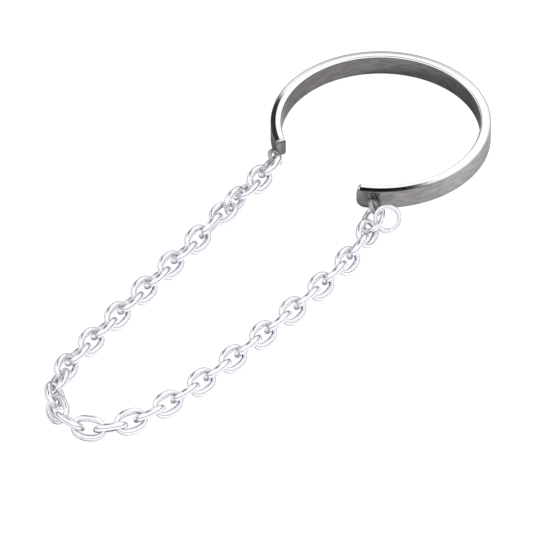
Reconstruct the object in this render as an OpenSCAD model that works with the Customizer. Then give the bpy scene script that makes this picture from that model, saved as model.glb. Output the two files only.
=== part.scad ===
/* [Cuff] */
// Outer diameter of the open, C-shaped cuff
cuff_d = 12.2; // [11:0.1:14]
// Thickness of the band, from its inner wall to its outer wall
band_t = 0.6; // [0.5:0.02:0.8]
// Width of the band, along the cuff's axis
band_w = 1.25; // [1.1:0.05:1.6]
// Radius of the band's rounded long edges
edge_r = 0.14; // [0.06:0.01:0.2]
// Radius of the lower corner at each end of the band
low_corner_r = 0.5; // [0.2:0.05:0.55]
// Radius of the upper corner at each end of the band
top_corner_r = 0.2; // [0.1:0.05:0.4]
// Angle of the open mouth, seen from the cuff's axis
mouth_angle = 59; // [45:1:75]

/* [Eyelets soldered to the cuff] */
// Wire of the eyelets
eyelet_wire_d = 0.24; // [0.2:0.01:0.26]
// Inner diameter of the eyelets
eyelet_inner_d = 0.56; // [0.54:0.01:0.6]
// Height of an eyelet's centre above the band's lower edge
eyelet_z = 0.47; // [0.46:0.01:0.56]
// Distance of the left eyelet's centre from the band's outer wall
left_eyelet_reach = 0.16; // [0.1:0.01:0.22]
// How far the left eyelet's centre stands past the band's left end
left_eyelet_past = 0.32; // [0.24:0.01:0.36]
// Distance of the right eyelet's centre from the band's outer wall
right_eyelet_reach = 0.46; // [0.36:0.01:0.48]
// Distance of the right eyelet from the band's right end, along the band
right_eyelet_inset = 1.05; // [0.9:0.05:1.2]
// Diameter of the drop of solder that holds an eyelet
solder_d = 0.4; // [0.36:0.02:0.5]

/* [Chain] */
// Number of links in the chain
link_count = 40; // [36:1:44]
// Length of a link's opening
link_inner_l = 1.35; // [1.3:0.01:1.5]
// Width of a link's opening
link_inner_w = 0.68; // [0.66:0.01:0.8]
// Width of a link's wire along its two long sides
link_side_w = 0.38; // [0.36:0.01:0.44]
// Width of a link's wire round its two ends
link_end_w = 0.3; // [0.28:0.01:0.34]
// Thickness of a link's wire, square to the link's own plane
link_thick = 0.34; // [0.3:0.01:0.36]
// Slack between two links where the chain is drawn out
link_play = 0.05; // [0.04:0.01:0.1]
// Slack between two links where the chain lies loose
loose_play = 0.15; // [0.1:0.01:0.2]

/* [Rings at the chain's right end] */
// Wire of the jump ring, which joins the chain to the right eyelet
jump_wire_d = 0.28; // [0.26:0.01:0.3]
// Length of the jump ring's opening
jump_inner_l = 1.66; // [1.6:0.02:1.8]
// Width of the jump ring's opening
jump_inner_w = 0.94; // [0.9:0.02:1]
// Wire of the round end ring, which hangs loose on the jump ring
end_ring_wire_d = 0.27; // [0.24:0.01:0.28]
// Inner diameter of the end ring
end_ring_inner_d = 1.06; // [1:0.02:1.12]
// Slack between the last link and the jump ring
jump_play = 0.2; // [0.16:0.01:0.24]

/* [Hidden] */
link_names = [for (i = [1:link_count]) str("link_", i < 10 ? "0" : "", i)];

silver = [0.86, 0.86, 0.89];
band_silver = [0.66, 0.65, 0.65];

// Resolution of exact round shapes, and the sides of a meshed ring and of its wire
$fn = 96;
ring_sides = 16;
wire_sides = 6;

// The cuff stands on its lower edge, its axis along Z, with its mouth towards -Y
cuff_r = cuff_d / 2;
bore_r = cuff_r - band_t;
long_edge_r = min(edge_r, 0.45 * band_t);
left_end = -90 - mouth_angle / 2;
right_end = -90 + mouth_angle / 2;

function on_circle(r, angle, z) = [r * cos(angle), r * sin(angle), z];
function arc_angle(length, r) = length / r * 180 / PI;

left_eyelet_angle = left_end + arc_angle(left_eyelet_past, cuff_r);
right_eyelet_angle = right_end + arc_angle(right_eyelet_inset, cuff_r);
left_eyelet_at = on_circle(cuff_r + left_eyelet_reach, left_eyelet_angle, eyelet_z);
right_eyelet_at = on_circle(cuff_r + right_eyelet_reach, right_eyelet_angle, eyelet_z);

// The chain's lay between its two eyelets, seen from above: a hairpin
lay = [
    [-2.2, -7],
    [-1.8, -9.5],
    [-1.2, -12.8],
    [-0.7, -16.2],
    [-0.1, -20.2],
    [0.5, -23.9],
    [1.1, -26.8],
    [2.4, -29],
    [4.1, -29.8],
    [5.7, -29.3],
    [6.7, -27.6],
    [7.2, -25.1],
    [7.3, -22.2],
    [7.2, -19.3],
    [7, -16.1],
    [6.7, -12.8],
    [6.3, -9.9],
    [5.9, -8.4],
    [5.5, -7.2],
];
steps_per_span = 12;

// Half openings along the chain, from the left eyelet to the right one
half_openings = concat(
    [eyelet_inner_d / 2],
    [for (i = [1:link_count]) link_inner_l / 2],
    [jump_inner_l / 2, eyelet_inner_d / 2]
);
last = len(half_openings) - 1;

// The chain lies loose where it is twisted, round the hairpin's bend and next to the jump ring
loose_runs = [[2, 5], [17, 25]];
function play(i) =
    i == link_count ? jump_play
    : len([for (run = loose_runs) if (i >= run[0] && i < run[1]) i]) > 0 ? loose_play
    : link_play;

// Distance along the chain of each member's centre from the left eyelet
function chain_step(i) = half_openings[i] + half_openings[i + 1] - play(i);
function stations(i = 0, s = 0, list = []) =
    i == last ? concat(list, [s]) : stations(i + 1, s + chain_step(i), concat(list, [s]));
station = stations();

// The jump ring stands straight out from its eyelet
jump_yaw = -52;
jump_at = [right_eyelet_at.x, right_eyelet_at.y] + chain_step(last - 1) * [cos(jump_yaw), sin(jump_yaw)];

// A smooth curve through the lay's points, stretched from the mouth by a factor
mouth_at = [(left_eyelet_at.x + right_eyelet_at.x) / 2, (left_eyelet_at.y + right_eyelet_at.y) / 2];
function stretched(k) = concat(
    [[left_eyelet_at.x, left_eyelet_at.y]],
    [for (p = lay) mouth_at + k * (p - mouth_at)],
    [jump_at]
);
function blend(a, b, c, d, t) =
    0.5 * (2 * b + (c - a) * t + (2 * a - 5 * b + 4 * c - d) * t * t + (3 * b - a - 3 * c + d) * t * t * t);
function curve(points) = let (n = len(points) - 1) concat(
    [
        for (i = [0:n - 1], j = [0:steps_per_span - 1])
            blend(points[max(i - 1, 0)], points[i], points[i + 1], points[min(i + 2, n)], j / steps_per_span)
    ],
    [points[n]]
);
function lengths(path, i = 0, s = 0, list = []) =
    i == len(path) - 1
    ? concat(list, [s])
    : lengths(path, i + 1, s + norm(path[i + 1] - path[i]), concat(list, [s]));
function path_length(path) = let (all = lengths(path)) all[len(all) - 1];

// The lay is stretched until its length is that of the chain
function fitted(k, rounds) =
    rounds == 0 ? k : fitted(k * station[last - 1] / path_length(curve(stretched(k))), rounds - 1);
lay_stretch = fitted(1, 5);
route = curve(stretched(lay_stretch));
route_s = lengths(route);
route_x = [for (i = [0:len(route) - 1]) [route_s[i], route[i].x]];
route_y = [for (i = [0:len(route) - 1]) [route_s[i], route[i].y]];

// Each link is rolled a quarter about the chain from its neighbour, halfway between flat and upright,
// the chain's left end is twisted a further quarter, and the jump ring has a roll of its own
left_twist = [2.5, 7];
jump_roll = -30;
function share_of(i, run) = min(max((i - run[0]) / (run[1] - run[0]), 0), 1);
function roll(i) =
    i >= last - 1 ? jump_roll + 90 * (i - last + 1)
    : (i % 2 == 1 ? -45 : 45) + 90 * (1 - share_of(i, left_twist));

// A rolled ring rests on the surface with the lower side of its oval, or higher where its neighbours hold it up
function rest_z(angle, inner_w, side_w, thick) =
    (inner_w + side_w) / 2 * abs(sin(angle)) + norm([side_w * sin(angle), thick * cos(angle)]) / 2;
function member_rest(i) =
    i == 0 || i == last ? eyelet_z
    : i == last - 1 ? rest_z(roll(i), jump_inner_w, jump_wire_d, jump_wire_d)
    : rest_z(roll(i), link_inner_w, link_side_w, link_thick);
function member_z(i) =
    i == 0 || i == last ? eyelet_z : max(member_rest(i), (member_rest(i - 1) + member_rest(i + 1)) / 2);
centres = concat(
    [for (i = [0:last - 1]) [lookup(station[i], route_x), lookup(station[i], route_y), member_z(i)]],
    [right_eyelet_at]
);

// Each member points from its last neighbour to the next one, and the jump ring and its eyelet to each other
function heading(i) =
    i >= last - 1 ? centres[last] - centres[last - 1] : centres[i + 1] - centres[max(i - 1, 0)];
function yaw(v) = atan2(v.y, v.x);
function lift(v) = atan2(v.z, norm([v.x, v.y]));

module lay_member(i) {
    translate(centres[i]) rotate([roll(i), -lift(heading(i)), yaw(heading(i))]) children();
}

// A ring of wire bent to an oval, in its own X-Y plane, the long way along X
oval_power = 0.84;
function signed_power(v, e) = sign(v) * pow(abs(v), e);
function oval_point(a, b, t) = [a * signed_power(cos(t), oval_power), b * signed_power(sin(t), oval_power), 0];
function oval_out(a, b, t) = let (d = oval_point(a, b, t + 1) - oval_point(a, b, t - 1)) [d.y, -d.x, 0] / norm(d);
module oval_ring(inner_l, inner_w, end_w, side_w, thick) {
    a = (inner_l + end_w) / 2;
    b = (inner_w + side_w) / 2;
    points = [
        for (i = [0:ring_sides - 1], j = [0:wire_sides - 1])
            let (
                t = 360 * (i + 0.5) / ring_sides,
                turn = 360 * j / wire_sides,
                width = end_w + (side_w - end_w) * pow(sin(t), 2)
            )
                oval_point(a, b, t) + width / 2 * cos(turn) * oval_out(a, b, t) + [0, 0, thick / 2 * sin(turn)]
    ];
    faces = [
        for (i = [0:ring_sides - 1], j = [0:wire_sides - 1])
            let (i2 = (i + 1) % ring_sides, j2 = (j + 1) % wire_sides, w = wire_sides)
                each [
                    [i * w + j, i * w + j2, i2 * w + j2],
                    [i * w + j, i2 * w + j2, i2 * w + j],
                ]
    ];
    polyhedron(points, faces);
}

module band_profile() {
    r = long_edge_r;
    translate([bore_r + r, 0]) square([band_t - 2 * r, band_w]);
    translate([bore_r, r]) square([band_t, band_w - 2 * r]);
    for (x = [bore_r + r, cuff_r - r], z = [r, band_w - r]) translate([x, z]) circle(r);
}

// The waste outside a rounded corner at the band's end, cut through the band's thickness
// Its arc stands out a hair, so that it crosses the band's faces and doesn't graze them
corner_out = 0.015;
module corner_waste(r) {
    rotate([90, 0, 0]) linear_extrude(2 * band_t, center = true) translate([corner_out, corner_out]) difference() {
        translate([-r, -band_w]) square([r + band_w, r + band_w]);
        translate([-r, -r]) circle(r);
        translate([-r - 2 * band_w, -2 * band_w]) square([2 * band_w, 4 * band_w]);
        translate([-2 * band_w, -r - 2 * band_w]) square([4 * band_w, 2 * band_w]);
    }
}

// Seen from outside, +X points out of the band's end and Z along its width
module band_end(angle, side) {
    rotate([0, 0, angle]) translate([cuff_r - band_t / 2, 0, 0]) rotate([0, 0, side * 90]) {
        translate([0, 0, band_w]) corner_waste(top_corner_r);
        mirror([0, 0, 1]) corner_waste(low_corner_r);
    }
}

// A drop of solder stands out of the band's outer wall, on the band's left end and under the right eyelet
drop_r = cuff_r - solder_d / 8;
drop_angles = [left_end - arc_angle(solder_d / 3, cuff_r), right_eyelet_angle];

module cuff() {
    color(band_silver) difference() {
        rotate([0, 0, right_end]) rotate_extrude(angle = 360 - mouth_angle) band_profile();
        band_end(left_end, 1);
        band_end(right_end, -1);
    }
    color(band_silver) for (i = [0, last])
        lay_member(i) rotate_extrude() translate([(eyelet_inner_d + eyelet_wire_d) / 2, 0]) circle(d = eyelet_wire_d);
    color(band_silver) for (angle = drop_angles) translate(on_circle(drop_r, angle, eyelet_z)) sphere(d = solder_d);
}

module chain_link(i) {
    color(silver) lay_member(i) oval_ring(link_inner_l, link_inner_w, link_end_w, link_side_w, link_thick);
}

module jump_ring() {
    color(silver) lay_member(last - 1) oval_ring(jump_inner_l, jump_inner_w, jump_wire_d, jump_wire_d, jump_wire_d);
}

// The end ring passes through the jump ring and leans on it, its lower side on the surface
end_ring_r = (end_ring_inner_d + end_ring_wire_d) / 2;
end_ring_lean = 56;
end_ring_turn = 34;
end_ring_shift = [0.7, 0.43];
end_ring_at = [
    centres[last - 1].x + end_ring_shift.x,
    centres[last - 1].y + end_ring_shift.y,
    end_ring_r * sin(end_ring_lean) + end_ring_wire_d / 2
];
module end_ring() {
    color(silver) translate(end_ring_at) rotate([end_ring_lean, 0, end_ring_turn])
        oval_ring(end_ring_inner_d, end_ring_inner_d, end_ring_wire_d, end_ring_wire_d, end_ring_wire_d);
}

cuff();
for (i = [1:link_count]) chain_link(i);
jump_ring();
end_ring();
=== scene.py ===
"""Ear chain earring: a polished silver ear cuff with a fine cable chain, lying on a pale surface."""

import math

import bpy
import numpy as np
from mathutils import Matrix, Vector


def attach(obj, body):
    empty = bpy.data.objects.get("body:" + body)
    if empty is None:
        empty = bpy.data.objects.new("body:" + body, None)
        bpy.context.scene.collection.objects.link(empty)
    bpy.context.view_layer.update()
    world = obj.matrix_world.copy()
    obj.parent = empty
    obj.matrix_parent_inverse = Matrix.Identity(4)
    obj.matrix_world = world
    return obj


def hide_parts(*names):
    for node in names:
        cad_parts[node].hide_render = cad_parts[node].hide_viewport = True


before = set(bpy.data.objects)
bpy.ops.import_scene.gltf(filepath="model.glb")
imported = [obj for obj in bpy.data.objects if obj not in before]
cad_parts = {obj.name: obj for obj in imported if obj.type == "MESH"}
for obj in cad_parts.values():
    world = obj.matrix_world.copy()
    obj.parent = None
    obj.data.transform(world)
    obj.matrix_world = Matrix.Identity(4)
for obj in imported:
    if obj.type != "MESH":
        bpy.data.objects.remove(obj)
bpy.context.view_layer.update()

MM = 0.001

# The photograph's view, in the part's frame
PHOTO_ELEVATION = 40.2
PHOTO_AZIMUTH = 42.65
PHOTO_AIM = Vector((3.16, -12.07, 0.0)) * MM
PHOTO_WIDTH = 30.22 * MM
LENS = 1500.0
SENSOR = 36.0
CLIP_START = 0.1
CLIP_END = 10

# The cuff, as in the part's source
CUFF_R = 6.1 * MM
BAND_T = 0.6 * MM
BAND_W = 1.25 * MM
BORE_R = CUFF_R - BAND_T
MOUTH_ANGLE = math.radians(59)
LEFT_END = -math.pi / 2 - MOUTH_ANGLE / 2
RIGHT_END = -math.pi / 2 + MOUTH_ANGLE / 2
LOW_CORNER_R = 0.5 * MM
TOP_CORNER_R = 0.2 * MM

# The cuff's softened edges and the bevel along its top
EDGE_R = 0.11 * MM
BEVEL_IN = 0.28 * MM
BEVEL_DOWN = 0.06 * MM
BEVEL_R = 0.03 * MM
SMALLEST_BEVEL_R = 0.01 * MM
END_SOFT = 0.05 * MM
END_SOFT_ANGLES = (0, 22, 45, 68)
CORNER_STEPS = 14
CORNER_CROWDING = 1.5
MIDDLE_STEPS = 260

# The eyelets and their solder, as in the part's source
EYELET_WIRE_D = 0.24 * MM
EYELET_INNER_D = 0.56 * MM
EYELET_Z = 0.47 * MM
LEFT_EYELET_ANGLE = LEFT_END + 0.32 * MM / CUFF_R
LEFT_EYELET_R = CUFF_R + 0.16 * MM
LEFT_EYELET_ROLL = 135
RIGHT_EYELET_ANGLE = RIGHT_END + 1.05 * MM / CUFF_R
RIGHT_EYELET_R = CUFF_R + 0.46 * MM
RIGHT_EYELET_ROLL = 60
SOLDER_D = 0.4 * MM
SOLDER_MIDDLE_R = CUFF_R - SOLDER_D / 8
LEFT_SOLDER_ANGLE = LEFT_END - SOLDER_D / 3 / CUFF_R
# The drops that show are a little smaller than the solid ones
SOLDER_SHOWN_R = SOLDER_D / 2 - 0.05 * MM

# The chain and its rings: outer sizes as in the part's source, and the links' wire as it shows
LINK_COUNT = 40
OVAL_POWER = 0.84
LINK_OUTER_L = (1.35 + 2 * 0.3) * MM
LINK_OUTER_W = (0.68 + 2 * 0.38) * MM
LINK_END_W = 0.28 * MM
LINK_SIDE_W = 0.39 * MM
LINK_END_T = 0.32 * MM
LINK_SIDE_T = 0.42 * MM
LINK_WIRE_POWER = 0.95
JUMP_INNER_L = 1.66 * MM
JUMP_INNER_W = 0.94 * MM
JUMP_WIRE_D = 0.28 * MM
END_INNER_D = 1.06 * MM
END_WIRE_D = 0.27 * MM
RING_STEPS = 96
WIRE_STEPS = 24
TANGENT_REACH = 0.02

# Links of the right strand whose plane holds the photograph's view, to within this sine, are rolled edge on
RIGHT_STRAND_FROM = 24
EDGE_ON_BELOW = 0.34
EDGE_ON_LIMIT = math.radians(14)

# The silver: base colours, the band walls' painted shade and light, and the patterns by their scales for
# each metre
BAND_POLISH = (0.95, 0.95, 0.97)
CHAIN_POLISH = (0.93, 0.93, 0.965)
SOLDER_GREY = (0.5, 0.48, 0.475)
# The band's walls are coloured with painted shade: darker at the front, darkest inside, and lighter towards
# the side the light falls on
WALL_FRONT_PAINTED_SHADE = (0.31, 0.295, 0.29)
WALL_SIDE_PAINTED_LIGHT = (0.47, 0.458, 0.458)
WALL_INSIDE_PAINTED_SHADE = (0.22, 0.208, 0.204)
WALL_ROUGHNESS = 0.2
# The direction in which the walls' painted light grows
PAINTED_LIGHT_SIDE = (0.7355, 0.6775, 0.0)
TARNISH_SCALE = 420.0
SCRATCH_SCALE = 2600.0
SCRATCH_STRETCH = (1.0, 1.0, 6.0)
SCRATCH_DEPTH = 0.00002
GRAIN_SCALE = 1500.0
GRAIN_STRETCH = (1.0, 1.0, 4.0)
GRAIN_DARKEST = 0.4

# The floor: its own colour to the camera and in reflections, and its glow to the camera alone
FLOOR_HALF = 3.0
FLOOR_SEEN = (0.08, 0.08, 0.08)
FLOOR_REFLECTED = (0.34, 0.34, 0.345)
FLOOR_GLOW = 0.95

# The studio
SKY_LOW = (0.16, 0.16, 0.165)
SKY_HIGH = (1.08, 1.08, 1.1)
PATCH_ABOVE = (0.005, 0.005, 0.005)
PATCH_BEHIND = (0.03, 0.028, 0.026)
LAMP_DISTANCE = 0.5


def direction(azimuth, elevation):
    """Direction to a place round the part, with the azimuth counted as the photograph's is."""
    a = math.radians(azimuth)
    e = math.radians(elevation)
    return Vector((math.sin(a) * math.cos(e), -math.cos(a) * math.cos(e), math.sin(e)))


PHOTO_VIEW = direction(PHOTO_AZIMUTH, PHOTO_ELEVATION)


def on_circle(r, angle, z):
    """A point at a radius, an angle and a height round the cuff's axis."""
    return Vector((r * math.cos(angle), r * math.sin(angle), z))


def smooth_object(name, verts, faces):
    """A smoothly shaded mesh object made from vertices and faces."""
    mesh = bpy.data.meshes.new(name)
    mesh.from_pydata([tuple(v) for v in verts], [], faces)
    mesh.update()
    mesh.validate()
    obj = bpy.data.objects.new(name, mesh)
    bpy.context.collection.objects.link(obj)
    mesh.polygons.foreach_set("use_smooth", [True] * len(mesh.polygons))
    return obj


def show(obj, material, node):
    """Gives a piece its material and lets it stand for a node of the frame."""
    obj.data.materials.clear()
    obj.data.materials.append(material)
    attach(obj, "root")
    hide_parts(node)


# Shader nodes


def new_material(name):
    """A new material, its node tree and its shader."""
    material = bpy.data.materials.new(name)
    material.use_nodes = True
    tree = material.node_tree
    return material, tree, tree.nodes["Principled BSDF"]


def mixed_colour(tree, factor, first, second):
    """A colour between two others, each a colour or a socket."""
    mix = tree.nodes.new("ShaderNodeMix")
    mix.data_type = "RGBA"
    tree.links.new(factor, mix.inputs["Factor"])
    for socket, value in (("A", first), ("B", second)):
        if isinstance(value, tuple):
            mix.inputs[socket].default_value = (*value, 1)
        else:
            tree.links.new(value, mix.inputs[socket])
    return mix.outputs["Result"]


def ramp(tree, value, start, end, low=0.0, high=1.0):
    """A value carried smoothly from one range to another."""
    span = tree.nodes.new("ShaderNodeMapRange")
    span.interpolation_type = "SMOOTHSTEP"
    for name, number in (("From Min", start), ("From Max", end), ("To Min", low), ("To Max", high)):
        span.inputs[name].default_value = number
    tree.links.new(value, span.inputs["Value"])
    return span.outputs["Result"]


def along(tree, place, axis):
    """How far a point lies along an axis."""
    dot = tree.nodes.new("ShaderNodeVectorMath")
    dot.operation = "DOT_PRODUCT"
    dot.inputs[1].default_value = axis
    tree.links.new(place, dot.inputs[0])
    return dot.outputs["Value"]


def from_axis(tree, place):
    """How far a point lies from the cuff's axis."""
    flat = tree.nodes.new("ShaderNodeVectorMath")
    flat.operation = "MULTIPLY"
    flat.inputs[1].default_value = (1.0, 1.0, 0.0)
    tree.links.new(place, flat.inputs[0])
    radius = tree.nodes.new("ShaderNodeVectorMath")
    radius.operation = "LENGTH"
    tree.links.new(flat.outputs["Vector"], radius.inputs[0])
    return radius.outputs["Value"]


def noise(tree, place, scale, detail, stretch=(1.0, 1.0, 1.0)):
    """A cloudy pattern that rides on the piece, drawn out along an axis by a stretch."""
    mapping = tree.nodes.new("ShaderNodeMapping")
    mapping.inputs["Scale"].default_value = stretch
    tree.links.new(place, mapping.inputs["Vector"])
    cloud = tree.nodes.new("ShaderNodeTexNoise")
    cloud.inputs["Scale"].default_value = scale
    cloud.inputs["Detail"].default_value = detail
    tree.links.new(mapping.outputs["Vector"], cloud.inputs["Vector"])
    return cloud.outputs["Fac"]


# The silver


def silver(name, colour, roughness, edge_tint, scratch, tarnish):
    """Silver with fine scratches, an uneven polish and a little tarnish."""
    material, tree, shader = new_material(name)
    shader.inputs["Metallic"].default_value = 1.0
    shader.inputs["Specular Tint"].default_value = (edge_tint, edge_tint, edge_tint, 1)
    place = tree.nodes.new("ShaderNodeTexCoord").outputs["Object"]
    cloud = noise(tree, place, TARNISH_SCALE, detail=5.0)
    tone = mixed_colour(tree, cloud, tuple(c * (1 - tarnish) for c in colour), colour)
    tree.links.new(tone, shader.inputs["Base Color"])
    polish = ramp(tree, cloud, start=0.3, end=0.7, low=roughness * 0.7, high=roughness * 1.4)
    tree.links.new(polish, shader.inputs["Roughness"])
    bump = tree.nodes.new("ShaderNodeBump")
    bump.inputs["Strength"].default_value = scratch
    bump.inputs["Distance"].default_value = SCRATCH_DEPTH
    scratches = noise(tree, place, SCRATCH_SCALE, detail=3.0, stretch=SCRATCH_STRETCH)
    tree.links.new(scratches, bump.inputs["Height"])
    tree.links.new(bump.outputs["Normal"], shader.inputs["Normal"])
    return material


def wall_colour_with_painted_shade(tree, place):
    """The satin walls' colour with painted shade and light: darkest on the inside, lightest towards one
    side, and grained.
    """
    # Painted light grows towards one side, and painted shade stays at the front
    towards_painted_light = ramp(tree, along(tree, place, PAINTED_LIGHT_SIDE), start=0.15 * CUFF_R, end=0.85 * CUFF_R)
    outside_painted_shade = mixed_colour(tree, towards_painted_light, WALL_FRONT_PAINTED_SHADE, WALL_SIDE_PAINTED_LIGHT)
    # The inner face takes the darkest painted shade
    outer = ramp(tree, from_axis(tree, place), start=CUFF_R - 0.6 * BAND_T, end=CUFF_R - 0.4 * BAND_T)
    wall = mixed_colour(tree, outer, WALL_INSIDE_PAINTED_SHADE, outside_painted_shade)
    grain = noise(tree, place, GRAIN_SCALE, detail=6.0, stretch=GRAIN_STRETCH)
    darkening = ramp(tree, grain, start=0.2, end=0.8, low=GRAIN_DARKEST, high=0.0)
    return mixed_colour(tree, darkening, wall, (0.0, 0.0, 0.0))


def band_silver(name):
    """The band's silver: a polished top above satin walls, whose colour is darkened with painted shade."""
    material = silver(name, BAND_POLISH, roughness=0.08, edge_tint=0.6, scratch=0.12, tarnish=0.05)
    tree = material.node_tree
    shader = tree.nodes["Principled BSDF"]
    top_colour = shader.inputs["Base Color"].links[0].from_socket
    top_roughness = shader.inputs["Roughness"].links[0].from_socket
    place = tree.nodes.new("ShaderNodeTexCoord").outputs["Object"]
    height = along(tree, place, (0.0, 0.0, 1.0))
    # Below the bevel the walls take their painted shade and light
    top = ramp(tree, height, start=BAND_W - BEVEL_DOWN, end=BAND_W - BEVEL_DOWN / 2)
    colour = mixed_colour(tree, top, wall_colour_with_painted_shade(tree, place), top_colour)
    tree.links.new(colour, shader.inputs["Base Color"])
    roughness = tree.nodes.new("ShaderNodeMix")
    roughness.inputs["A"].default_value = WALL_ROUGHNESS
    tree.links.new(top, roughness.inputs["Factor"])
    tree.links.new(top_roughness, roughness.inputs["B"])
    tree.links.new(roughness.outputs["Result"], shader.inputs["Roughness"])
    return material


cuff_silver = band_silver("polished_band_silver_with_painted_shade")
chain_silver = silver(
    "polished_chain_silver", CHAIN_POLISH, roughness=0.2, edge_tint=0.7, scratch=0.1, tarnish=0.04
)
solder_silver = silver(
    "solder_silver", SOLDER_GREY, roughness=0.4, edge_tint=1.0, scratch=0.2, tarnish=0.1
)


# The band


def band_limits(d):
    """Lowest and highest point of the band at a distance along it from its nearer end."""

    def rounding(r):
        return r - math.sqrt(r * r - (r - d) ** 2) if d < r else 0.0

    return rounding(LOW_CORNER_R), BAND_W - rounding(TOP_CORNER_R)


def filleted(corners, steps=8, support=0.01 * MM):
    """Points round a counterclockwise outline whose corners, given as x, z and radius, are rounded."""
    points = []
    for i, (x, z, r) in enumerate(corners):
        here = Vector((x, z))
        before = (Vector(corners[i - 1][:2]) - here).normalized()
        after = (Vector(corners[(i + 1) % len(corners)][:2]) - here).normalized()
        turn = math.pi - before.angle(after)
        reach = r * math.tan(turn / 2)
        centre = here + (before + after).normalized() * (r / math.cos(turn / 2))
        spoke = here + before * reach - centre
        points.append(tuple(here + before * (reach + support)))
        for k in range(steps + 1):
            a = turn * k / steps
            c, s = math.cos(a), math.sin(a)
            points.append((centre.x + spoke.x * c - spoke.y * s, centre.y + spoke.x * s + spoke.y * c))
        points.append(tuple(here + after * (reach + support)))
    return points


def band_profile(low, high, inset):
    """The band's section as points (radius, height), counterclockwise from its inner lower edge."""
    x0, x1 = BORE_R + inset, CUFF_R - inset
    z0, z1 = low + inset, high - inset
    edge = EDGE_R - inset
    bevel = max(BEVEL_R - inset, SMALLEST_BEVEL_R)
    return filleted((
        (x0, z0, edge),
        (x1, z0, edge),
        (x1, z1 - BEVEL_DOWN, bevel),
        (x1 - BEVEL_IN, z1, bevel),
        (x0, z1, edge),
    ))


def band_mesh(name):
    """The open band, swept round its axis, with rounded corners and softened edges at both ends."""
    length = (2 * math.pi - MOUTH_ANGLE) * CUFF_R
    near_end = [END_SOFT * (1 - math.cos(math.radians(a))) for a in END_SOFT_ANGLES]
    corner_l = LOW_CORNER_R - END_SOFT
    corner_steps = [(k / CORNER_STEPS) ** CORNER_CROWDING for k in range(CORNER_STEPS + 1)]
    near_end += [END_SOFT + corner_l * step for step in corner_steps]
    first = near_end[-1]
    middle = [first + (length - 2 * first) * k / MIDDLE_STEPS for k in range(1, MIDDLE_STEPS)]
    stations = near_end + middle + [length - d for d in reversed(near_end)]
    verts, faces = [], []
    for s in stations:
        d = min(s, length - s)
        inset = END_SOFT * (1 - math.sqrt(1 - (1 - d / END_SOFT) ** 2)) if d < END_SOFT else 0.0
        angle = RIGHT_END + s / CUFF_R
        verts += [on_circle(r, angle, z) for r, z in band_profile(*band_limits(d), inset)]
    n = len(verts) // len(stations)
    for i in range(len(stations) - 1):
        for j in range(n):
            k = (j + 1) % n
            faces.append((i * n + j, i * n + k, (i + 1) * n + k, (i + 1) * n + j))
    faces.append(tuple(range(n))[::-1])
    faces.append(tuple(range(len(verts) - n, len(verts))))
    return smooth_object(name, verts, faces)


show(band_mesh("band"), cuff_silver, "cuff")


# Rings of bent wire


def round_wire(inner_l, inner_w, wire_d, power):
    """Sizes of a ring of round wire, from its opening and its wire."""
    return {
        "half_l": inner_l / 2 + wire_d, "half_w": inner_w / 2 + wire_d,
        "end_w": wire_d, "side_w": wire_d, "end_t": wire_d, "side_t": wire_d, "power": power,
    }


LINK = {
    "half_l": LINK_OUTER_L / 2, "half_w": LINK_OUTER_W / 2,
    "end_w": LINK_END_W, "side_w": LINK_SIDE_W, "end_t": LINK_END_T, "side_t": LINK_SIDE_T,
    "power": OVAL_POWER, "wire_power": LINK_WIRE_POWER,
}
JUMP = round_wire(JUMP_INNER_L, JUMP_INNER_W, JUMP_WIRE_D, OVAL_POWER)
END = round_wire(END_INNER_D, END_INNER_D, END_WIRE_D, 1.0)
EYELET = round_wire(EYELET_INNER_D, EYELET_INNER_D, EYELET_WIRE_D, 1.0)


def node_axes(node):
    """Middle and axes of a node that is a flat ring: the long way, the wide way and its normal."""
    points = np.array([v.co[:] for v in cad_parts[node].data.vertices])
    # Vertices that coincide count once
    points = np.unique(points.round(7), axis=0)
    middle = points.mean(0)
    spread = points - middle
    vectors = np.linalg.eigh(spread.T @ spread)[1]
    axes = vectors[:, ::-1].T
    if np.dot(np.cross(axes[0], axes[1]), axes[2]) < 0:
        axes[2] = -axes[2]
    return Vector(middle), [Vector(axis) for axis in axes]


def bent(value, power):
    """A sine or cosine with its size raised to a power, which squares or pinches a round line."""
    return math.copysign(abs(value) ** power, value)


def ring_mesh(name, middle, axes, half_l, half_w, end_w, side_w, end_t, side_t, power, wire_power=1.0):
    """An oval ring of wire whose width and thickness differ at its ends and sides, placed along its axes."""
    a = half_l - end_w / 2
    b = half_w - side_w / 2

    def line(t):
        return np.array([a * bent(math.cos(t), power), b * bent(math.sin(t), power), 0.0])

    verts, faces = [], []
    for i in range(RING_STEPS):
        t = (i + 0.5) * 2 * math.pi / RING_STEPS
        here = line(t)
        d = line(t + TANGENT_REACH) - line(t - TANGENT_REACH)
        out = np.array([d[1], -d[0], 0.0]) / np.linalg.norm(d)
        width = end_w + (side_w - end_w) * math.sin(t) ** 2
        thick = end_t + (side_t - end_t) * math.sin(t) ** 2
        for j in range(WIRE_STEPS):
            turn = 2 * math.pi * j / WIRE_STEPS
            u = bent(math.cos(turn), wire_power) * width / 2
            v = bent(math.sin(turn), wire_power) * thick / 2
            verts.append(here + u * out + np.array([0, 0, v]))
    for i in range(RING_STEPS):
        k = (i + 1) % RING_STEPS
        for j in range(WIRE_STEPS):
            m = (j + 1) % WIRE_STEPS
            faces.append((i * WIRE_STEPS + j, k * WIRE_STEPS + j, k * WIRE_STEPS + m, i * WIRE_STEPS + m))
    placed = np.array(verts) @ np.array([axis[:] for axis in axes]) + np.array(middle[:])
    # A ring whose wire is stouter than the solid's is lifted until it rests on the floor
    placed[:, 2] += max(0.0, -placed[:, 2].min())
    return smooth_object(name, placed, faces)


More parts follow.
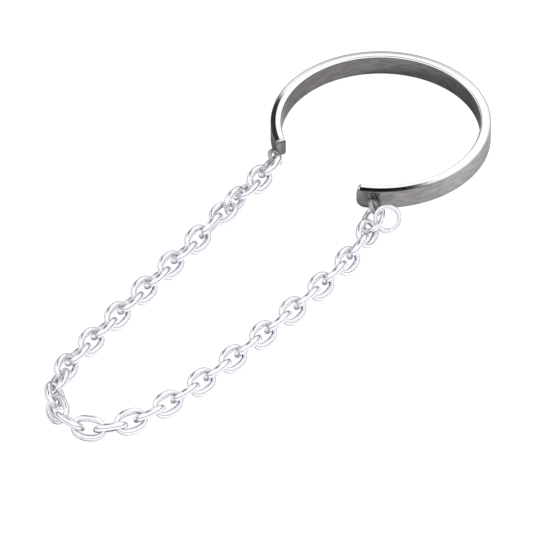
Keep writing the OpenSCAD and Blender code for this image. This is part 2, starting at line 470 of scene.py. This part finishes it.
def edge_on(axes, view):
    """Axes of a link that nearly shows a view its edge, rolled about its long way to show it, to a limit."""
    long_way, wide_way, normal = axes
    roll = math.atan2(-normal.dot(view), wide_way.dot(view))
    roll = (roll + math.pi / 2) % math.pi - math.pi / 2
    roll = max(-EDGE_ON_LIMIT, min(EDGE_ON_LIMIT, roll))
    c, s = math.cos(roll), math.sin(roll)
    return [long_way, wide_way * c - normal * s, normal * c + wide_way * s]


middles = {}
for i in range(1, LINK_COUNT + 1):
    node = f"link_{i:02d}"
    middles[node], axes = node_axes(node)
    if i >= RIGHT_STRAND_FROM and abs(axes[2].dot(PHOTO_VIEW)) < EDGE_ON_BELOW:
        axes = edge_on(axes, PHOTO_VIEW)
    show(ring_mesh(f"oval_{node}", middles[node], axes, **LINK), chain_silver, node)
for node, name, sizes in (("jump_ring", "oval_jump_ring", JUMP), ("end_ring", "round_end_ring", END)):
    middles[node], axes = node_axes(node)
    show(ring_mesh(name, middles[node], axes, **sizes), chain_silver, node)


# Eyelets and solder


def turned(heading, roll):
    """Axes of a member of the chain that points along a heading, rolled about it by an angle in degrees."""
    yaw = math.atan2(heading.y, heading.x)
    lift = math.atan2(heading.z, math.hypot(heading.x, heading.y))
    rolled = Matrix.Rotation(math.radians(roll), 3, "X")
    m = Matrix.Rotation(yaw, 3, "Z") @ Matrix.Rotation(-lift, 3, "Y") @ rolled
    return [m.col[0], m.col[1], m.col[2]]


def drop_mesh(name, at, radius, rings=24, sides=36):
    """A drop of solder."""
    verts, faces = [at + Vector((0, 0, -radius))], []
    for i in range(1, rings):
        a = math.pi * i / rings
        for j in range(sides):
            b = 2 * math.pi * j / sides
            verts.append(at + radius * on_circle(math.sin(a), b, -math.cos(a)))
    verts.append(at + Vector((0, 0, radius)))
    last_ring = 1 + (rings - 2) * sides
    for j in range(sides):
        k = (j + 1) % sides
        faces.append((0, 1 + k, 1 + j))
        for i in range(rings - 2):
            p = 1 + i * sides
            faces.append((p + j, p + k, p + sides + k, p + sides + j))
        faces.append((last_ring + j, last_ring + k, len(verts) - 1))
    return smooth_object(name, verts, faces)


left_at = on_circle(LEFT_EYELET_R, LEFT_EYELET_ANGLE, EYELET_Z)
right_at = on_circle(RIGHT_EYELET_R, RIGHT_EYELET_ANGLE, EYELET_Z)
eyelets = (
    ("left", left_at, turned(middles["link_01"] - left_at, LEFT_EYELET_ROLL), LEFT_SOLDER_ANGLE),
    ("right", right_at, turned(right_at - middles["jump_ring"], RIGHT_EYELET_ROLL), RIGHT_EYELET_ANGLE),
)
for side, at, axes, solder_angle in eyelets:
    show(ring_mesh(f"{side}_eyelet", at, axes, **EYELET), solder_silver, "cuff")
    drop_at = on_circle(SOLDER_MIDDLE_R, solder_angle, EYELET_Z)
    show(drop_mesh(f"{side}_solder", drop_at, SOLDER_SHOWN_R), solder_silver, "cuff")


# Floor, light and camera


def floor_material():
    """A floor that the camera sees white and without shadows, and that is mid grey in every reflection."""
    material, tree, shader = new_material("pale_floor")
    camera_ray = tree.nodes.new("ShaderNodeLightPath").outputs["Is Camera Ray"]
    tone = mixed_colour(tree, camera_ray, FLOOR_REFLECTED, FLOOR_SEEN)
    tree.links.new(tone, shader.inputs["Base Color"])
    glow = tree.nodes.new("ShaderNodeMath")
    glow.operation = "MULTIPLY"
    glow.inputs[1].default_value = FLOOR_GLOW
    tree.links.new(camera_ray, glow.inputs[0])
    tree.links.new(glow.outputs["Value"], shader.inputs["Emission Strength"])
    shader.inputs["Emission Color"].default_value = (1, 1, 1, 1)
    shader.inputs["Roughness"].default_value = 0.9
    shader.inputs["Specular IOR Level"].default_value = 0.1
    return material


floor_corners = [(x * FLOOR_HALF, y * FLOOR_HALF, 0) for x, y in ((-1, -1), (1, -1), (1, 1), (-1, 1))]
floor = smooth_object("floor", floor_corners, [(0, 1, 2, 3)])
floor.data.materials.append(floor_material())

world = bpy.data.worlds.new("studio")
bpy.context.scene.world = world
world.use_nodes = True
studio = world.node_tree
look = studio.nodes.new("ShaderNodeTexCoord").outputs["Generated"]


def sky_towards(axis, below, above, start, end):
    """The sky's colour, turning from one to another as a direction nears an axis, between two cosines."""
    nearness = ramp(studio, along(studio, look, axis), start, end)
    return mixed_colour(studio, nearness, below, above)


sky = sky_towards((0, 0, 1), SKY_LOW, SKY_HIGH, start=0.1, end=0.45)
# Two dark patches, one mirrored by the front bevel and one by the band's left edge
sky = sky_towards(direction(PHOTO_AZIMUTH + 194, 66), sky, PATCH_ABOVE, start=0.957, end=0.978)
sky = sky_towards(direction(PHOTO_AZIMUTH + 201, 37), sky, PATCH_BEHIND, start=0.976, end=0.988)
studio.links.new(sky, studio.nodes["Background"].inputs["Color"])
bpy.context.scene.view_settings.view_transform = "Standard"
bpy.context.scene.view_settings.look = "None"


def lamp(name, azimuth, elevation, size, energy):
    """A soft lamp that doesn't show in the polish."""
    data = bpy.data.lights.new(name, "AREA")
    data.shape = "DISK"
    data.size = size
    data.energy = energy
    obj = bpy.data.objects.new(name, data)
    bpy.context.collection.objects.link(obj)
    away = direction(azimuth, elevation)
    obj.location = away * LAMP_DISTANCE
    obj.rotation_euler = away.to_track_quat("Z", "Y").to_euler()
    obj.visible_glossy = False
    obj.visible_camera = False


lamp("top_lamp", PHOTO_AZIMUTH, elevation=85, size=0.6, energy=2.6)
lamp("side_lamp", PHOTO_AZIMUTH + 100, elevation=35, size=0.25, energy=8.6)

camera_data = bpy.data.cameras.new("photo_camera")
camera_data.lens = LENS
camera_data.sensor_width = SENSOR
camera_data.clip_start = CLIP_START
camera_data.clip_end = CLIP_END
camera = bpy.data.objects.new("photo_camera", camera_data)
bpy.context.collection.objects.link(camera)
distance = LENS / SENSOR * PHOTO_WIDTH
camera.location = PHOTO_AIM + PHOTO_VIEW * distance
camera.rotation_euler = PHOTO_VIEW.to_track_quat("Z", "Y").to_euler()
bpy.context.scene.camera = camera
